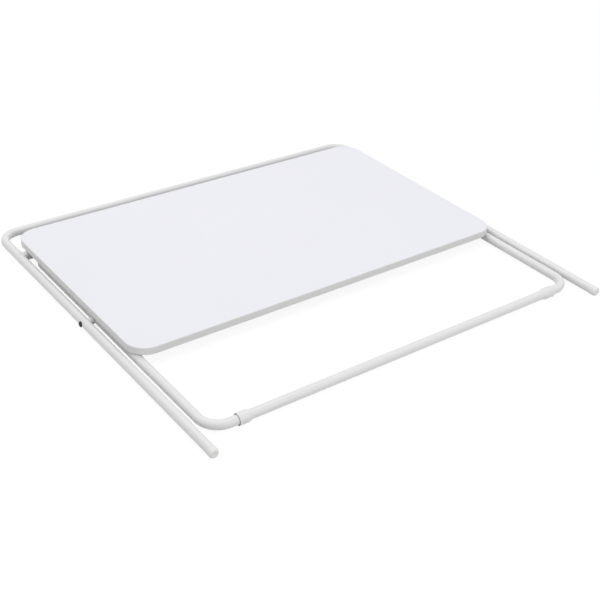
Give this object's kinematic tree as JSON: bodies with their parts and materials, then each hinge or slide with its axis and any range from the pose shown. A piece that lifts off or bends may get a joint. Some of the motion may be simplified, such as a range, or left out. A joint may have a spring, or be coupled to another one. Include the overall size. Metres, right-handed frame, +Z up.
{
  "type": "folding table",
  "caption": "Low folding table with a round-cornered white board on crossed tube legs; the rail stands behind the board and the whole lies flat when folded.",
  "frame": {"origin": "under the middle of the folded table, on the surface that it lies on", "axes": "+X along the length of the board, +Y from the feet towards the rail, +Z up out of the table top"},
  "size_m": [0.9312, 0.8512, 0.0367],
  "materials": {
    "tube": "satin white powder coat",
    "board": "particle board faced with satin white melamine",
    "edge_band": "satin off-white edge band",
    "cap": "moulded white",
    "fitting": "moulded white",
    "bolt_head": "black oxide steel",
    "zinc": "bright zinc plate"
  },
  "bodies": {
    "outer_frame": {"outer_tube": "tube", "cross_tube": "tube", "foot_cap_left": "cap", "foot_cap_right": "cap", "pivot_bolt_left": "bolt_head", "pivot_bolt_right": "bolt_head", "pivot_spacer_left": "cap", "pivot_spacer_right": "cap", "pivot_nut_left": "zinc", "pivot_nut_right": "zinc"},
    "inner_frame": {"inner_tube": "tube", "front_tube": "tube"},
    "bar_glides": {"bar_glide_left": "fitting", "bar_glide_right": "fitting"},
    "table_top": {"board_core": "board", "edge_band": "edge_band", "hinge_saddle_left": "fitting", "hinge_saddle_right": "fitting", "catch_left": "fitting", "catch_right": "fitting", "saddle_screw_left_a": "zinc", "saddle_screw_left_b": "zinc", "saddle_screw_right_a": "zinc", "saddle_screw_right_b": "zinc", "catch_screw_left_a": "zinc", "catch_screw_left_b": "zinc", "catch_screw_right_a": "zinc", "catch_screw_right_b": "zinc"}
  },
  "joints": [
    {"name": "top_slide", "type": "slide", "parent": "table_top", "child": "bar_glides", "axis": [0, -1, 0], "range_m": [0, 0.32251]},
    {"name": "bar_turn", "type": "hinge", "parent": "bar_glides", "child": "inner_frame", "pos_m": [0, 0.28171, 0.0115], "axis": [1, 0, 0], "range_deg": [0, 126.32]},
    {"name": "leg_pivot", "type": "hinge", "parent": "inner_frame", "child": "outer_frame", "pos_m": [0, 0.02321, 0.0115], "axis": [-1, 0, 0], "range_deg": [0, 80]}
  ],
  "couplings": [
    {"joint": "bar_turn", "follows": "leg_pivot", "ratio": 1.579},
    {"joint": "top_slide", "follows": "leg_pivot", "m_per_rad": 0.23098}
  ]
}
